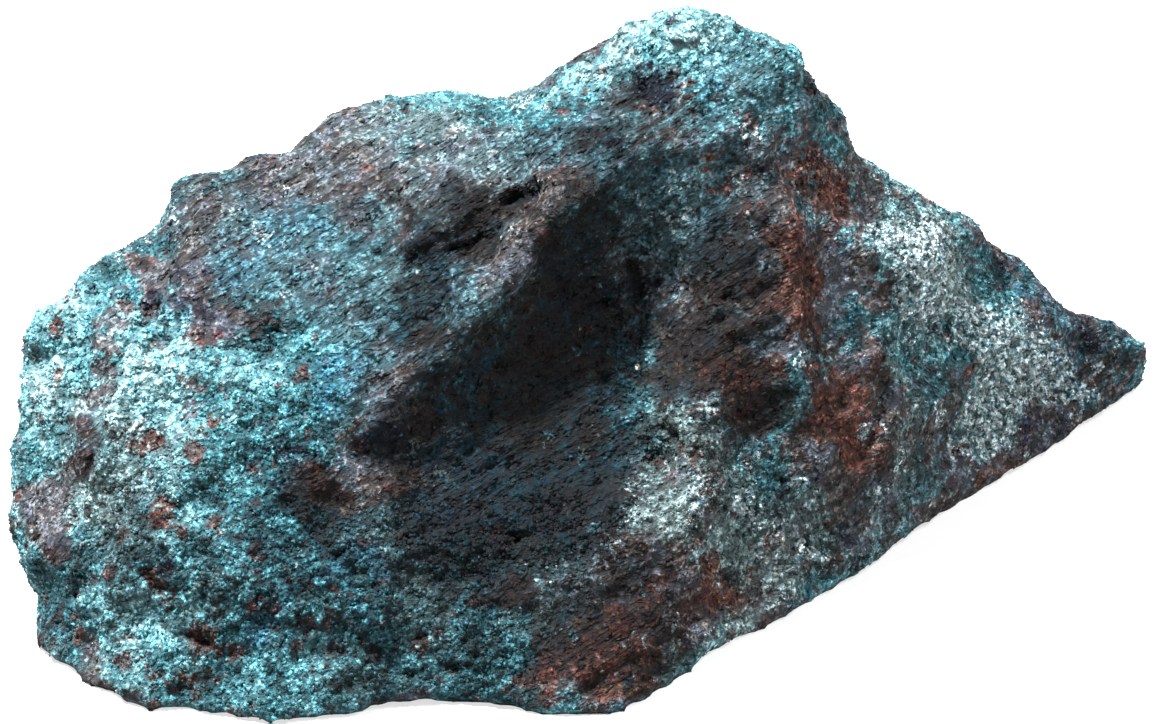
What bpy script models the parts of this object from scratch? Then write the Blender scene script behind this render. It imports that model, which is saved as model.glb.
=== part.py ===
# A hand-sized lump of shattuckite ore, lying on the flattest of its broken faces.
#
# The stone is set out the way it looks from its display side, with the eye SIGHT_TILT above the table.
# A seen point is (across, up, back) in millimetres: across runs to the right, up is measured square to the
# line of sight from the foot of the front corner, and back is how far the point lies behind that corner
# along the table. Its height follows from these. A plain point is (right, back, height).
# Seen points make the display face, plain points make the back and the underside, and both share the outline.

import math

import bmesh
import bpy
from mathutils import Vector, noise
from mathutils.bvhtree import BVHTree
from mathutils.geometry import delaunay_2d_cdt

MM = 0.001
SAME_POINT = 1e-6
SIGHT_TILT = math.radians(35)
SIN_TILT, COS_TILT = math.sin(SIGHT_TILT), math.cos(SIGHT_TILT)
EYE_DISTANCE = 200.0

RIM_HEIGHT = -1.0       # height of the lower edge, below the cut that makes the flat sole at height 0
UNDERSIDE = -2.6        # height of the facets that close the body underneath, and are cut away
CELL_SIZE = 1.95        # size of the mesh cells that carry ledges, lumps and dents
SKYLINE_SPREAD = 0.6    # the outline is set out this much too wide, as the cells round it off again
LOWER_EDGE_SPREAD = 1.9
SHORTEST_EDGE = 0.05    # shorter edges round the cut of the sole are closed up
SMOOTHING = 0.5         # share by which a point is evened with its neighbours before the ledges are raised

# Lumps and hackly breaks: (size of one swell, height).
LUMPS = [(17.0, 0.8), (8.0, 0.6), (4.2, 0.5)]
HACKLES = [(10.0, 0.8), (5.5, 0.6)]

# The layers that the stone broke along crop out as low ledges, whose faces look to the front right.
LEDGE_FACING = Vector((0.57, -0.80, -0.19))
LEDGE_SPACING = 8.5
LEDGE_HEIGHT = 0.9
LEDGE_WAVER = 1.1       # how far a ledge strays from straight, in spacings
LEDGE_BEND = 18.7       # how far along a ledge its bends are
LEDGE_PATCH = 14.0      # size of the patches in which the ledges are strong or faint
LEDGE_DROP = 0.78       # share of the spacing that a ledge rises over before it drops

SOLE_FADE = (0.0, 3.0)  # the relief comes in between these heights, which leaves the foot of the stone even

STONE_COLOUR = (0.085, 0.205, 0.215, 1.0)
STONE_ROUGHNESS = 0.82

# The lower edge, from the left corner round the front corner to the right tip, as (across, up).
LOWER_EDGE = [
    (-44.2, 4.8), (-39.4, 2.0), (-36.0, 0.4), (-31.5, 1.0), (-28.2, -0.3), (-24.8, -0.6), (-20.7, -0.1),
    (-16.5, 1.1), (-13.2, 1.7), (-8.2, 1.1), (-4.8, 0.5), (-0.7, 0.1), (3.5, 0.2), (6.0, 1.9), (9.3, 3.9),
    (12.7, 6.1), (15.2, 7.2), (18.5, 9.4), (22.7, 11.7), (26.8, 14.4), (31.0, 17.3), (34.3, 18.9),
    (39.3, 22.0), (41.4, 23.7), (44.3, 25.6), (46.4, 27.2),
]

# The skyline, from the right tip over the peak and down the left end, as seen points.
SKYLINE = [
    (47.4, 29.2, 46.5), (47.1, 30.3, 46.8), (45.6, 31.9, 47.0), (43.1, 33.3, 47.0), (40.2, 34.2, 46.8),
    (38.9, 35.3, 46.5), (35.6, 37.3, 46.0), (33.9, 38.9, 45.5), (32.3, 40.8, 45.0), (30.6, 42.1, 44.5),
    (27.3, 43.1, 43.0), (24.8, 45.0, 42.0), (22.7, 47.1, 41.0), (19.8, 51.0, 39.5), (18.1, 52.9, 39.0),
    (17.5, 54.8, 39.0), (16.0, 56.4, 39.5), (13.5, 57.3, 40.5), (11.4, 57.9, 41.0), (9.3, 58.8, 41.5),
    (5.6, 58.2, 42.0), (3.5, 56.7, 42.5), (1.4, 54.6, 43.0), (-1.5, 52.9, 43.5), (-4.0, 51.7, 44.0),
    (-6.5, 50.8, 44.0), (-10.7, 50.8, 43.5), (-13.2, 50.4, 43.0), (-16.5, 50.6, 42.0), (-19.2, 50.5, 41.0),
    (-20.3, 49.2, 40.0), (-22.3, 47.7, 39.0), (-26.5, 46.8, 37.0), (-30.2, 45.0, 35.0), (-32.3, 44.2, 34.0),
    (-33.8, 43.3, 33.0), (-34.0, 41.3, 32.0), (-34.6, 38.9, 31.5), (-39.0, 37.9, 30.5), (-41.9, 36.3, 29.0),
    (-43.2, 34.6, 28.0), (-46.3, 32.6, 26.0), (-47.6, 30.6, 24.5), (-47.5, 27.5, 22.5), (-47.0, 24.2, 20.5),
    (-47.5, 20.8, 18.5), (-47.8, 19.0, 17.5), (-47.1, 17.9, 16.8), (-46.4, 14.2, 14.6), (-44.8, 11.7, 12.6),
    (-44.5, 8.3, 11.0),
]

# Creases of the display face, as chains of seen points.
CREASES = {
    # the main ridge, from the right shoulder of the peak down to the front
    "ridge": [
        (16.2, 52.1, 36.5), (13.5, 49.0, 34.5), (9.8, 47.7, 33.0), (5.6, 46.5, 31.5), (1.8, 45.2, 29.5),
        (-1.5, 43.5, 27.5), (-3.2, 40.7, 25.0), (-5.3, 37.3, 22.0), (-7.3, 34.3, 20.0), (-10.3, 30.6, 17.5),
        (-14.0, 26.8, 15.0), (-16.1, 23.5, 13.0), (-18.8, 20.7, 11.5),
    ],
    # the bottom of the hollow right of the ridge
    "hollow_seam": [
        (6.4, 41.3, 31.3), (6.0, 37.5, 30.3), (6.0, 33.3, 28.0), (5.8, 29.2, 25.0), (5.6, 25.0, 21.0),
        (4.8, 21.7, 18.0), (2.7, 18.3, 14.5), (1.8, 14.6, 10.5),
    ],
    # the brow under the hollow
    "hollow_brow": [
        (-18.0, 18.3, 10.2), (-14.8, 16.7, 9.5), (-9.8, 15.0, 9.3), (-4.0, 13.8, 8.8), (1.2, 12.4, 8.2),
    ],
    # the rusty rib on the right flank
    "rusty_rib": [
        (15.6, 46.7, 34.3), (17.7, 40.8, 30.7), (18.1, 34.2, 26.5), (17.7, 30.0, 24.0),
        (16.4, 24.5, 20.6),
    ],
    # the light edge behind the trough
    "trough_edge": [(20.2, 44.2, 36.0), (22.7, 40.0, 33.6), (25.6, 37.3, 33.0), (27.5, 36.5, 33.4)],
    # the left edge of the pale block at the tip
    "block_edge": [(27.5, 36.5, 33.4), (25.6, 30.8, 28.6), (24.2, 22.5, 23.6), (23.9, 17.0, 21.6)],
    # the edge where the left end turns to the front
    "left_edge": [
        (-34.2, 35.0, 25.8), (-35.7, 30.5, 21.0), (-37.8, 25.8, 17.0), (-39.8, 21.0, 14.0),
        (-41.5, 15.5, 11.2), (-43.0, 10.0, 9.2),
    ],
    # the brow between the brown roof and the left end
    "left_brow": [(-31.9, 38.8, 28.0), (-30.3, 34.2, 23.3), (-29.4, 30.2, 19.8), (-31.2, 26.0, 16.2)],
    # a step in the roof left of the ridge, and its foot
    "upper_step": [
        (-6.5, 45.4, 31.0), (-11.5, 40.4, 26.2), (-14.8, 36.2, 22.5), (-16.9, 31.2, 18.5),
        (-18.6, 25.8, 14.3),
    ],
    "step_foot": [
        (-5.3, 43.7, 31.0), (-10.3, 39.2, 27.0), (-13.6, 35.0, 23.2), (-16.1, 30.0, 19.2),
        (-18.0, 25.0, 15.0),
    ],
    # the break across the roof, behind the ridge
    "roof_break": [
        (3.5, 50.6, 36.5), (-4.8, 47.5, 34.0), (-10.7, 46.0, 33.5), (-14.8, 42.5, 30.0),
        (-19.0, 38.3, 26.0),
    ],
}

# Single seen points that belly or dish the faces between the creases.
DISPLAY_FACE = {
    "peak": [
        (6.0, 53.5, 37.0), (10.2, 51.2, 35.6), (14.3, 53.5, 37.5), (3.0, 48.6, 33.0), (9.0, 56.0, 38.8),
    ],
    "roof": [
        (-1.5, 47.0, 31.5), (-14.2, 31.9, 19.8), (-20.7, 31.7, 19.3), (-23.2, 42.5, 31.0),
        (-17.0, 47.3, 37.0), (-24.8, 37.3, 25.5), (-28.3, 41.5, 30.0), (-10.0, 49.0, 38.0),
        (-24.0, 27.5, 16.2), (-18.6, 26.3, 14.9), (-1.0, 50.6, 38.5),
    ],
    "hollow": [
        (-1.2, 38.3, 28.0), (1.8, 40.6, 30.0), (-3.2, 34.2, 25.3), (1.8, 32.5, 27.6), (-6.3, 29.2, 21.2),
        (-1.5, 25.8, 21.4), (-10.3, 24.8, 16.6), (-8.2, 20.4, 14.0), (-2.3, 19.8, 15.0),
        (-13.2, 20.0, 12.4), (1.8, 27.5, 24.0),
    ],
    "right_flank": [
        (10.2, 42.5, 31.4), (10.2, 36.7, 28.6), (10.2, 30.0, 23.8), (10.2, 23.3, 17.6), (14.3, 36.5, 28.0),
        (13.8, 19.8, 17.5), (20.2, 24.2, 24.2), (21.0, 29.2, 27.6), (21.8, 35.4, 32.0), (23.6, 32.8, 31.4),
        (19.5, 16.8, 19.6), (20.8, 47.0, 38.0), (24.6, 42.0, 38.5),
    ],
    "front": [
        (-27.3, 23.0, 13.4), (-31.5, 19.5, 11.4), (-35.7, 18.5, 11.3), (-31.5, 12.5, 6.7),
        (-38.0, 12.5, 8.3), (-31.5, 6.0, 3.6), (-38.2, 6.2, 5.4), (-23.2, 15.8, 8.0), (-24.8, 9.2, 3.9),
        (-19.0, 9.5, 4.4), (-11.5, 8.0, 4.4), (-4.8, 7.5, 4.3), (-6.5, 11.5, 7.0), (1.8, 6.5, 4.0),
        (6.0, 5.8, 4.8), (6.5, 12.5, 9.4), (10.2, 9.2, 10.2), (10.2, 17.5, 13.6), (14.3, 13.3, 14.2),
        (-17.0, 13.5, 7.3),
    ],
    "left_end": [
        (-39.8, 34.0, 26.5), (-43.4, 31.3, 25.0), (-38.2, 30.5, 23.6), (-44.0, 26.8, 22.4),
        (-41.5, 23.3, 18.6), (-44.6, 20.6, 17.6), (-42.8, 18.4, 15.8), (-44.0, 14.0, 13.4),
        (-40.6, 27.0, 21.0),
    ],
    "tip": [
        (30.2, 39.2, 40.0), (31.0, 34.0, 36.6), (35.2, 34.2, 41.0), (31.0, 25.8, 32.5), (35.2, 28.5, 37.5),
        (38.5, 31.2, 41.0), (42.7, 30.0, 43.3), (39.3, 25.4, 39.2), (29.3, 20.0, 29.0),
    ],
}

# Dents in the display face: (across, up, radius, depth).
DENTS = [
    (-4.6, 42.4, 2.6, 0.9),     # notch beside the ridge
    (-9.2, 38.2, 3.2, 1.1),     # under the lip further down
    (-41.0, 6.4, 2.6, 1.1),     # pit at the left foot
    (-42.4, 18.0, 3.6, 0.9),    # groove of the left end
    (-41.6, 14.0, 3.0, 0.8),
    (20.8, 41.0, 3.6, 1.2),     # head of the trough on the right flank
    (29.5, 32.2, 3.2, 0.8),     # pocket in the pale block
    (6.8, 21.2, 2.6, 0.8),      # round rusty pocket
    (-27.0, 19.5, 3.4, 0.8),    # hollows of the front
    (-15.0, 5.4, 3.0, 0.9),
    (3.6, 9.4, 3.0, 0.9),
]

# The lower edge of the hidden side, from behind the tip round to the left end, as (right, back).
BACK_EDGE = [
    (43.5, 51.5), (37.0, 57.0), (29.0, 61.5), (18.0, 64.5), (7.0, 65.0), (-3.0, 62.0), (-13.0, 60.5),
    (-23.0, 55.0), (-30.0, 46.5), (-38.0, 39.5), (-43.0, 29.0), (-43.8, 19.0),
]

# The rim of the sole, as (right, back).
SOLE_EDGE = [
    (-38.5, 12.0), (-28.0, 5.8), (-18.0, 6.6), (-10.0, 8.4), (-1.0, 6.6), (4.0, 8.0), (10.0, 14.6),
    (18.0, 23.6), (26.0, 32.4), (34.0, 41.0), (40.0, 47.0), (36.0, 52.0), (27.0, 57.0), (17.0, 60.0),
    (7.0, 60.0), (-3.0, 57.5), (-12.0, 55.5), (-21.0, 50.5), (-28.0, 42.0), (-35.0, 35.0), (-39.5, 26.0),
    (-41.0, 18.5),
]

# Plain points of the back, from the top break down.
BACK_FACE = [
    (-24.0, 41.0, 26.5), (-13.0, 47.0, 27.5), (-2.0, 49.0, 28.5), (8.0, 47.0, 36.5), (14.0, 48.0, 31.0),
    (21.0, 47.5, 22.5), (29.0, 50.5, 13.0), (37.0, 51.0, 7.0), (-33.0, 36.0, 22.0), (-41.0, 31.5, 17.5),
    (-38.0, 38.0, 11.0), (-28.5, 45.5, 13.0), (-22.0, 52.5, 15.5), (-11.0, 56.5, 19.0), (-2.0, 57.5, 18.0),
    (6.0, 58.5, 24.0), (15.0, 58.0, 17.0), (25.0, 58.5, 9.0), (34.0, 56.0, 5.0), (-44.6, 22.0, 9.5),
    (0.0, 61.0, 8.0), (11.0, 62.5, 10.0), (-16.0, 58.0, 8.0), (-33.4, 35.0, 27.9), (-47.4, 19.5, 9.9),
]


def seen(across, up, back):
    height = (up - back * SIN_TILT) / COS_TILT
    return Vector((across, back, height))


def on_lower_edge(across, up):
    back = (up - RIM_HEIGHT * COS_TILT) / SIN_TILT
    return Vector((across, back, RIM_HEIGHT))


def in_sight(point):
    """Where a point shows in the view that the stone is set out in."""
    return Vector((point.x, point.y * SIN_TILT + point.z * COS_TILT))


def spread_out(outline, spreads):
    """A flat outline with each point moved straight out by its own spread."""
    neighbours = zip(outline[-1:] + outline[:-1], outline, outline[1:] + outline[:1])
    moved = []
    for (before, here, after), spread in zip(neighbours, spreads):
        run = (after - before).normalized()
        moved.append(here + spread * Vector((run.y, -run.x)))
    return moved


def is_inside(outline, spot):
    """Whether a spot lies in a closed flat outline: a line to the right crosses it an odd number of times."""
    inside = False
    for one, other in zip(outline, outline[1:] + outline[:1]):
        if (one.y > spot.y) != (other.y > spot.y):
            crossing = one.x + (spot.y - one.y) * (other.x - one.x) / (other.y - one.y)
            if spot.x < crossing:
                inside = not inside
    return inside


class Sheet:
    """One side of the stone: its points, and the creases that its facets have to follow."""

    def __init__(self, outline):
        self.points = list(outline)
        self.outline_count = len(outline)
        self.creases = [(i, (i + 1) % self.outline_count) for i in range(self.outline_count)]

    def add(self, point):
        for number, there in enumerate(self.points):
            if (there - point).length < SAME_POINT:
                return number
        self.points.append(point)
        return len(self.points) - 1

    def add_chain(self, chain, closed=False):
        numbers = [self.add(point) for point in chain]
        self.creases += list(zip(numbers, numbers[1:]))
        if closed:
            self.creases.append((numbers[-1], numbers[0]))

    def facets(self):
        flat = [in_sight(point) for point in self.points]
        _, _, faces, _, _, _ = delaunay_2d_cdt(flat, self.creases, [], 0, SAME_POINT)
        outline = flat[:self.outline_count]
        middles = [sum((flat[corner] for corner in face), Vector((0, 0))) / len(face) for face in faces]
        return [face for face, middle in zip(faces, middles) if is_inside(outline, middle)]


def display_sheet(outline):
    sheet = Sheet(outline)
    for chain in CREASES.values():
        sheet.add_chain([seen(*point) for point in chain])
    for points in DISPLAY_FACE.values():
        for point in points:
            sheet.add(seen(*point))
    return sheet


def hidden_sheet(outline):
    sheet = Sheet(outline)
    sheet.add_chain([Vector((right, back, UNDERSIDE)) for right, back in SOLE_EDGE], closed=True)
    sheet.add_chain([Vector((right, back, RIM_HEIGHT)) for right, back in BACK_EDGE])
    for point in BACK_FACE:
        sheet.add(Vector(point))
    return sheet


def facetted_stone():
    """Joins the display face and the hidden side along the outline into one closed mesh."""
    spreads = [LOWER_EDGE_SPREAD] * len(LOWER_EDGE) + [SKYLINE_SPREAD] * len(SKYLINE)
    spread = spread_out([Vector(point[:2]) for point in LOWER_EDGE + SKYLINE], spreads)
    outline = [on_lower_edge(*place) for place in spread[:len(LOWER_EDGE)]]
    outline += [seen(*place, back) for place, (_, _, back) in zip(spread[len(LOWER_EDGE):], SKYLINE)]
    bm = bmesh.new()
    for sheet in (display_sheet(outline), hidden_sheet(outline)):
        vertices = [bm.verts.new(point * MM) for point in sheet.points]
        for facet in sheet.facets():
            bm.faces.new([vertices[number] for number in facet])
    bmesh.ops.remove_doubles(bm, verts=bm.verts, dist=SAME_POINT * MM)
    bmesh.ops.recalc_face_normals(bm, faces=bm.faces)
    return bm


def in_even_cells(bm):
    """The same body in mesh cells of one size, so that relief can be raised on it."""
    rough_mesh = bpy.data.meshes.new("facets")
    bm.to_mesh(rough_mesh)
    bm.free()
    facets = bpy.data.objects.new("facets", rough_mesh)
    bpy.context.scene.collection.objects.link(facets)
    remesh = facets.modifiers.new("cells", "REMESH")
    remesh.mode = "VOXEL"
    remesh.voxel_size = CELL_SIZE * MM
    graph = bpy.context.evaluated_depsgraph_get()
    even_mesh = bpy.data.meshes.new_from_object(facets.evaluated_get(graph))
    bpy.data.objects.remove(facets)
    even = bmesh.new()
    even.from_mesh(even_mesh)
    bpy.data.meshes.remove(even_mesh)
    every_way = {"use_axis_x": True, "use_axis_y": True, "use_axis_z": True}
    bmesh.ops.smooth_vert(even, verts=even.verts, factor=SMOOTHING, **every_way)
    return even


def swell(point, size, seed):
    """Smooth noise from -1 to 1 whose swells are about this size."""
    return noise.noise(point / size + Vector((seed, -seed, 2 * seed)))


def lumps(point):
    return sum(height * swell(point, size, size) for size, height in LUMPS)


def hackles(point):
    """Sharp crests with dished faces between them, as a brittle stone breaks."""
    return sum(height * (0.5 - 2 * abs(swell(point, size, 3 * size))) for size, height in HACKLES)


def ledges(point):
    """A saw profile: each ledge rises slowly, then drops."""
    stray = LEDGE_WAVER * swell(point, LEDGE_BEND, 5.0)
    part = (point.dot(LEDGE_FACING) / LEDGE_SPACING + stray) % 1.0
    rise = part / LEDGE_DROP if part < LEDGE_DROP else (1.0 - part) / (1.0 - LEDGE_DROP)
    strength = 0.5 + 0.5 * swell(point, LEDGE_PATCH, 9.0)
    return LEDGE_HEIGHT * strength * (rise - 0.5)


def eased(value, low, high):
    """0 below low, 1 above high, and a smooth rise between."""
    share = min(max((value - low) / (high - low), 0.0), 1.0)
    return share * share * (3 - 2 * share)


def dents(point, centres):
    return -sum(depth * (1 - ((point - centre).length / radius) ** 2)
                for centre, radius, depth in centres if (point - centre).length < radius)


def on_display_face(tree, across, up):
    """The first point of the stone that is met along the line of sight."""
    sight = Vector((0, COS_TILT, -SIN_TILT))
    start = Vector((across, 0, up / COS_TILT)) - sight * EYE_DISTANCE
    return tree.ray_cast(start * MM, sight)[0] / MM


def raise_relief(bm):
    """Moves each point along its normal by the ledges, lumps, hackly breaks and dents there."""
    tree = BVHTree.FromBMesh(bm)
    centres = [(on_display_face(tree, across, up), radius, depth) for across, up, radius, depth in DENTS]
    bm.normal_update()
    moves = []
    for vertex in bm.verts:
        point = vertex.co / MM
        height = lumps(point) + hackles(point) + ledges(point) + dents(point, centres)
        moves.append(vertex.normal * height * eased(point.z, *SOLE_FADE) * MM)
    for vertex, move in zip(bm.verts, moves):
        vertex.co += move


def cut_sole(bm):
    """Cuts the stone off flat at height 0 and closes the cut."""
    everything = bm.verts[:] + bm.edges[:] + bm.faces[:]
    level = {"plane_co": (0, 0, 0), "plane_no": (0, 0, 1)}
    bmesh.ops.bisect_plane(bm, geom=everything, clear_inner=True, **level)
    rim = [edge for edge in bm.edges if edge.is_boundary]
    for edge in rim:
        for vertex in edge.verts:
            vertex.co.z = 0.0
    bmesh.ops.dissolve_degenerate(bm, dist=SHORTEST_EDGE * MM, edges=rim)
    rim = [edge for edge in bm.edges if edge.is_boundary]
    bmesh.ops.holes_fill(bm, edges=rim, sides=0)
    bmesh.ops.triangulate(bm, faces=bm.faces)
    bmesh.ops.recalc_face_normals(bm, faces=bm.faces)


def centre_over_origin(bm):
    """Puts the middle of the stone's box over the origin, which stays at the height of the sole."""
    for axis in (0, 1):
        places = [vertex.co[axis] for vertex in bm.verts]
        middle = (min(places) + max(places)) / 2
        for vertex in bm.verts:
            vertex.co[axis] -= middle


def stone_material():
    material = bpy.data.materials.new("shattuckite crust")
    material.use_nodes = True
    shader = material.node_tree.nodes["Principled BSDF"]
    shader.inputs["Base Color"].default_value = STONE_COLOUR
    shader.inputs["Roughness"].default_value = STONE_ROUGHNESS
    shader.inputs["Metallic"].default_value = 0.0
    return material


def main():
    for thing in list(bpy.data.objects):
        bpy.data.objects.remove(thing)
    bm = in_even_cells(facetted_stone())
    raise_relief(bm)
    cut_sole(bm)
    centre_over_origin(bm)
    mesh = bpy.data.meshes.new("stone")
    bm.to_mesh(mesh)
    bm.free()
    mesh.materials.append(stone_material())
    mesh.shade_smooth()
    stone = bpy.data.objects.new("stone", mesh)
    bpy.context.scene.collection.objects.link(stone)


main()
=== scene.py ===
# Shattuckite ore specimen: the finish of the stone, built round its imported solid.
# Lengths in the dictionaries are in millimetres. Places on the display side are given as they show
# in the 1155 by 724 frame, in pixels, and are cast onto the stone from the camera.

import math

import bpy
import numpy as np
from mathutils import Matrix, Vector, noise
from mathutils.bvhtree import BVHTree


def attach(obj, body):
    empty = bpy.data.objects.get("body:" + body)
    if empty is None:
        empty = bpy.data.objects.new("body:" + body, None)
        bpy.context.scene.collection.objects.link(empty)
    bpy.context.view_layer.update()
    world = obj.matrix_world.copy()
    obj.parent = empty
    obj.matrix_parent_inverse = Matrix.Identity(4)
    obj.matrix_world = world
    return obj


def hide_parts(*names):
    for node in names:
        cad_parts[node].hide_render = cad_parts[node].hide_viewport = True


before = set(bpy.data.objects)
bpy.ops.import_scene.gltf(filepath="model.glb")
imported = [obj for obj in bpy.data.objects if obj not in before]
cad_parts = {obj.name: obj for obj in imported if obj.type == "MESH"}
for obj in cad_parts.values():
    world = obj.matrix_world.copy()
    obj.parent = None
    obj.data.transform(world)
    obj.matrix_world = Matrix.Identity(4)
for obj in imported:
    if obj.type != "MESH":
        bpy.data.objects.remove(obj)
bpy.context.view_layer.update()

mm = 0.001

# camera

view = {
    "frameWidth": 1155, "frameHeight": 724,
    "stoneLeft": 12, "stoneRight": 1150, "stoneTop": 11, "stoneBottom": 722,   # where it ends, in pixels
    "tilt": 35.0,                                                              # degrees above the table
    "lens": 700.0, "sensor": 36.0, "farthest": 20.0,
}
viewUp = Vector((0, math.sin(math.radians(view["tilt"])), math.cos(math.radians(view["tilt"]))))
viewBack = Vector((0, -math.cos(math.radians(view["tilt"])), math.sin(math.radians(view["tilt"]))))


# points are the stone's vertices, in metres
def setUpCamera(points):
    across = points[:, 0]
    up = points @ np.array(viewUp)
    pixel = (across.max() - across.min()) / (view["stoneRight"] - view["stoneLeft"])
    middleX = (view["stoneLeft"] + view["stoneRight"] - view["frameWidth"]) / 2 * pixel
    middleY = (view["stoneTop"] + view["stoneBottom"] - view["frameHeight"]) / 2 * pixel
    target = Vector(((across.max() + across.min()) / 2 - middleX, 0, 0))
    target += viewUp * ((up.max() + up.min()) / 2 + middleY)
    target += viewBack * float((points @ np.array(viewBack)).mean())
    camera = bpy.data.cameras.new("camera")
    camera.lens = view["lens"]
    camera.sensor_width = view["sensor"]
    distance = view["lens"] / view["sensor"] * view["frameWidth"] * pixel
    camera.clip_end = view["farthest"]
    cameraObject = bpy.data.objects.new("camera", camera)
    cameraObject.location = target + viewBack * distance
    cameraObject.rotation_euler = (math.radians(90 - view["tilt"]), 0, 0)
    bpy.context.scene.collection.objects.link(cameraObject)
    bpy.context.scene.camera = cameraObject
    view.update(pixel=pixel, target=target, eye=cameraObject.location.copy())


# the point of the stone that shows at this pixel, or None
def spotOnStone(tree, x, y):
    onPlane = view["target"] + Vector((1, 0, 0)) * (x - view["frameWidth"] / 2) * view["pixel"]
    onPlane += viewUp * (view["frameHeight"] / 2 - y) * view["pixel"]
    return tree.ray_cast(view["eye"], (onPlane - view["eye"]).normalized())[0]


# the fine mesh

stoneMesh = {
    "voxel": 0.43,
    "smoothing": 0.5, "smoothingRounds": 6,
}


# a copy of the solid in fine even cells, evened out so that its facets don't show
def fineStone(source):
    piece = bpy.data.objects.new("stoneCrust", source.data.copy())
    bpy.context.scene.collection.objects.link(piece)
    remesh = piece.modifiers.new("fine cells", "REMESH")
    remesh.mode = "VOXEL"
    remesh.voxel_size = stoneMesh["voxel"] * mm
    smooth = piece.modifiers.new("even out", "SMOOTH")
    smooth.factor = stoneMesh["smoothing"]
    smooth.iterations = stoneMesh["smoothingRounds"]
    graph = bpy.context.evaluated_depsgraph_get()
    mesh = bpy.data.meshes.new_from_object(piece.evaluated_get(graph))
    piece.modifiers.clear()
    piece.data = mesh
    return piece


def vertexArrays(mesh):
    count = len(mesh.vertices)
    points = np.empty(count * 3, np.float32)
    normals = np.empty(count * 3, np.float32)
    mesh.vertices.foreach_get("co", points)
    mesh.vertices.foreach_get("normal", normals)
    return points.reshape(-1, 3).astype(float), normals.reshape(-1, 3).astype(float)


# noise over all the points at once, in millimetres; a seed shifts it by its number of these steps

seedStep = {"cloud": 7.31, "cells": 5.17, "fray": 31.7}


# fractal noise, about -1 to 1; stretch has the directions, divided by their sizes, of a stretched grain
def cloud(points, size, seed, octaves=3, stretch=None):
    places = points / size if stretch is None else points @ stretch
    places = places + seed * seedStep["cloud"]
    return np.array([noise.fractal(Vector(p), 1.0, 2.0, octaves) for p in places])


# distance to the middle of the nearest cell and to that of the next, in cell sizes
def cells(points, size, seed):
    found = [noise.voronoi(Vector(p))[0] for p in points / size + seed * seedStep["cells"]]
    return np.array([d[0] for d in found]), np.array([d[1] for d in found])


def eased(values, low, high):
    share = np.clip((values - low) / (high - low), 0, 1)
    return share * share * (3 - 2 * share)


# where each mineral lies: (x, y, radius, amount), pixels of the frame

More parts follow.
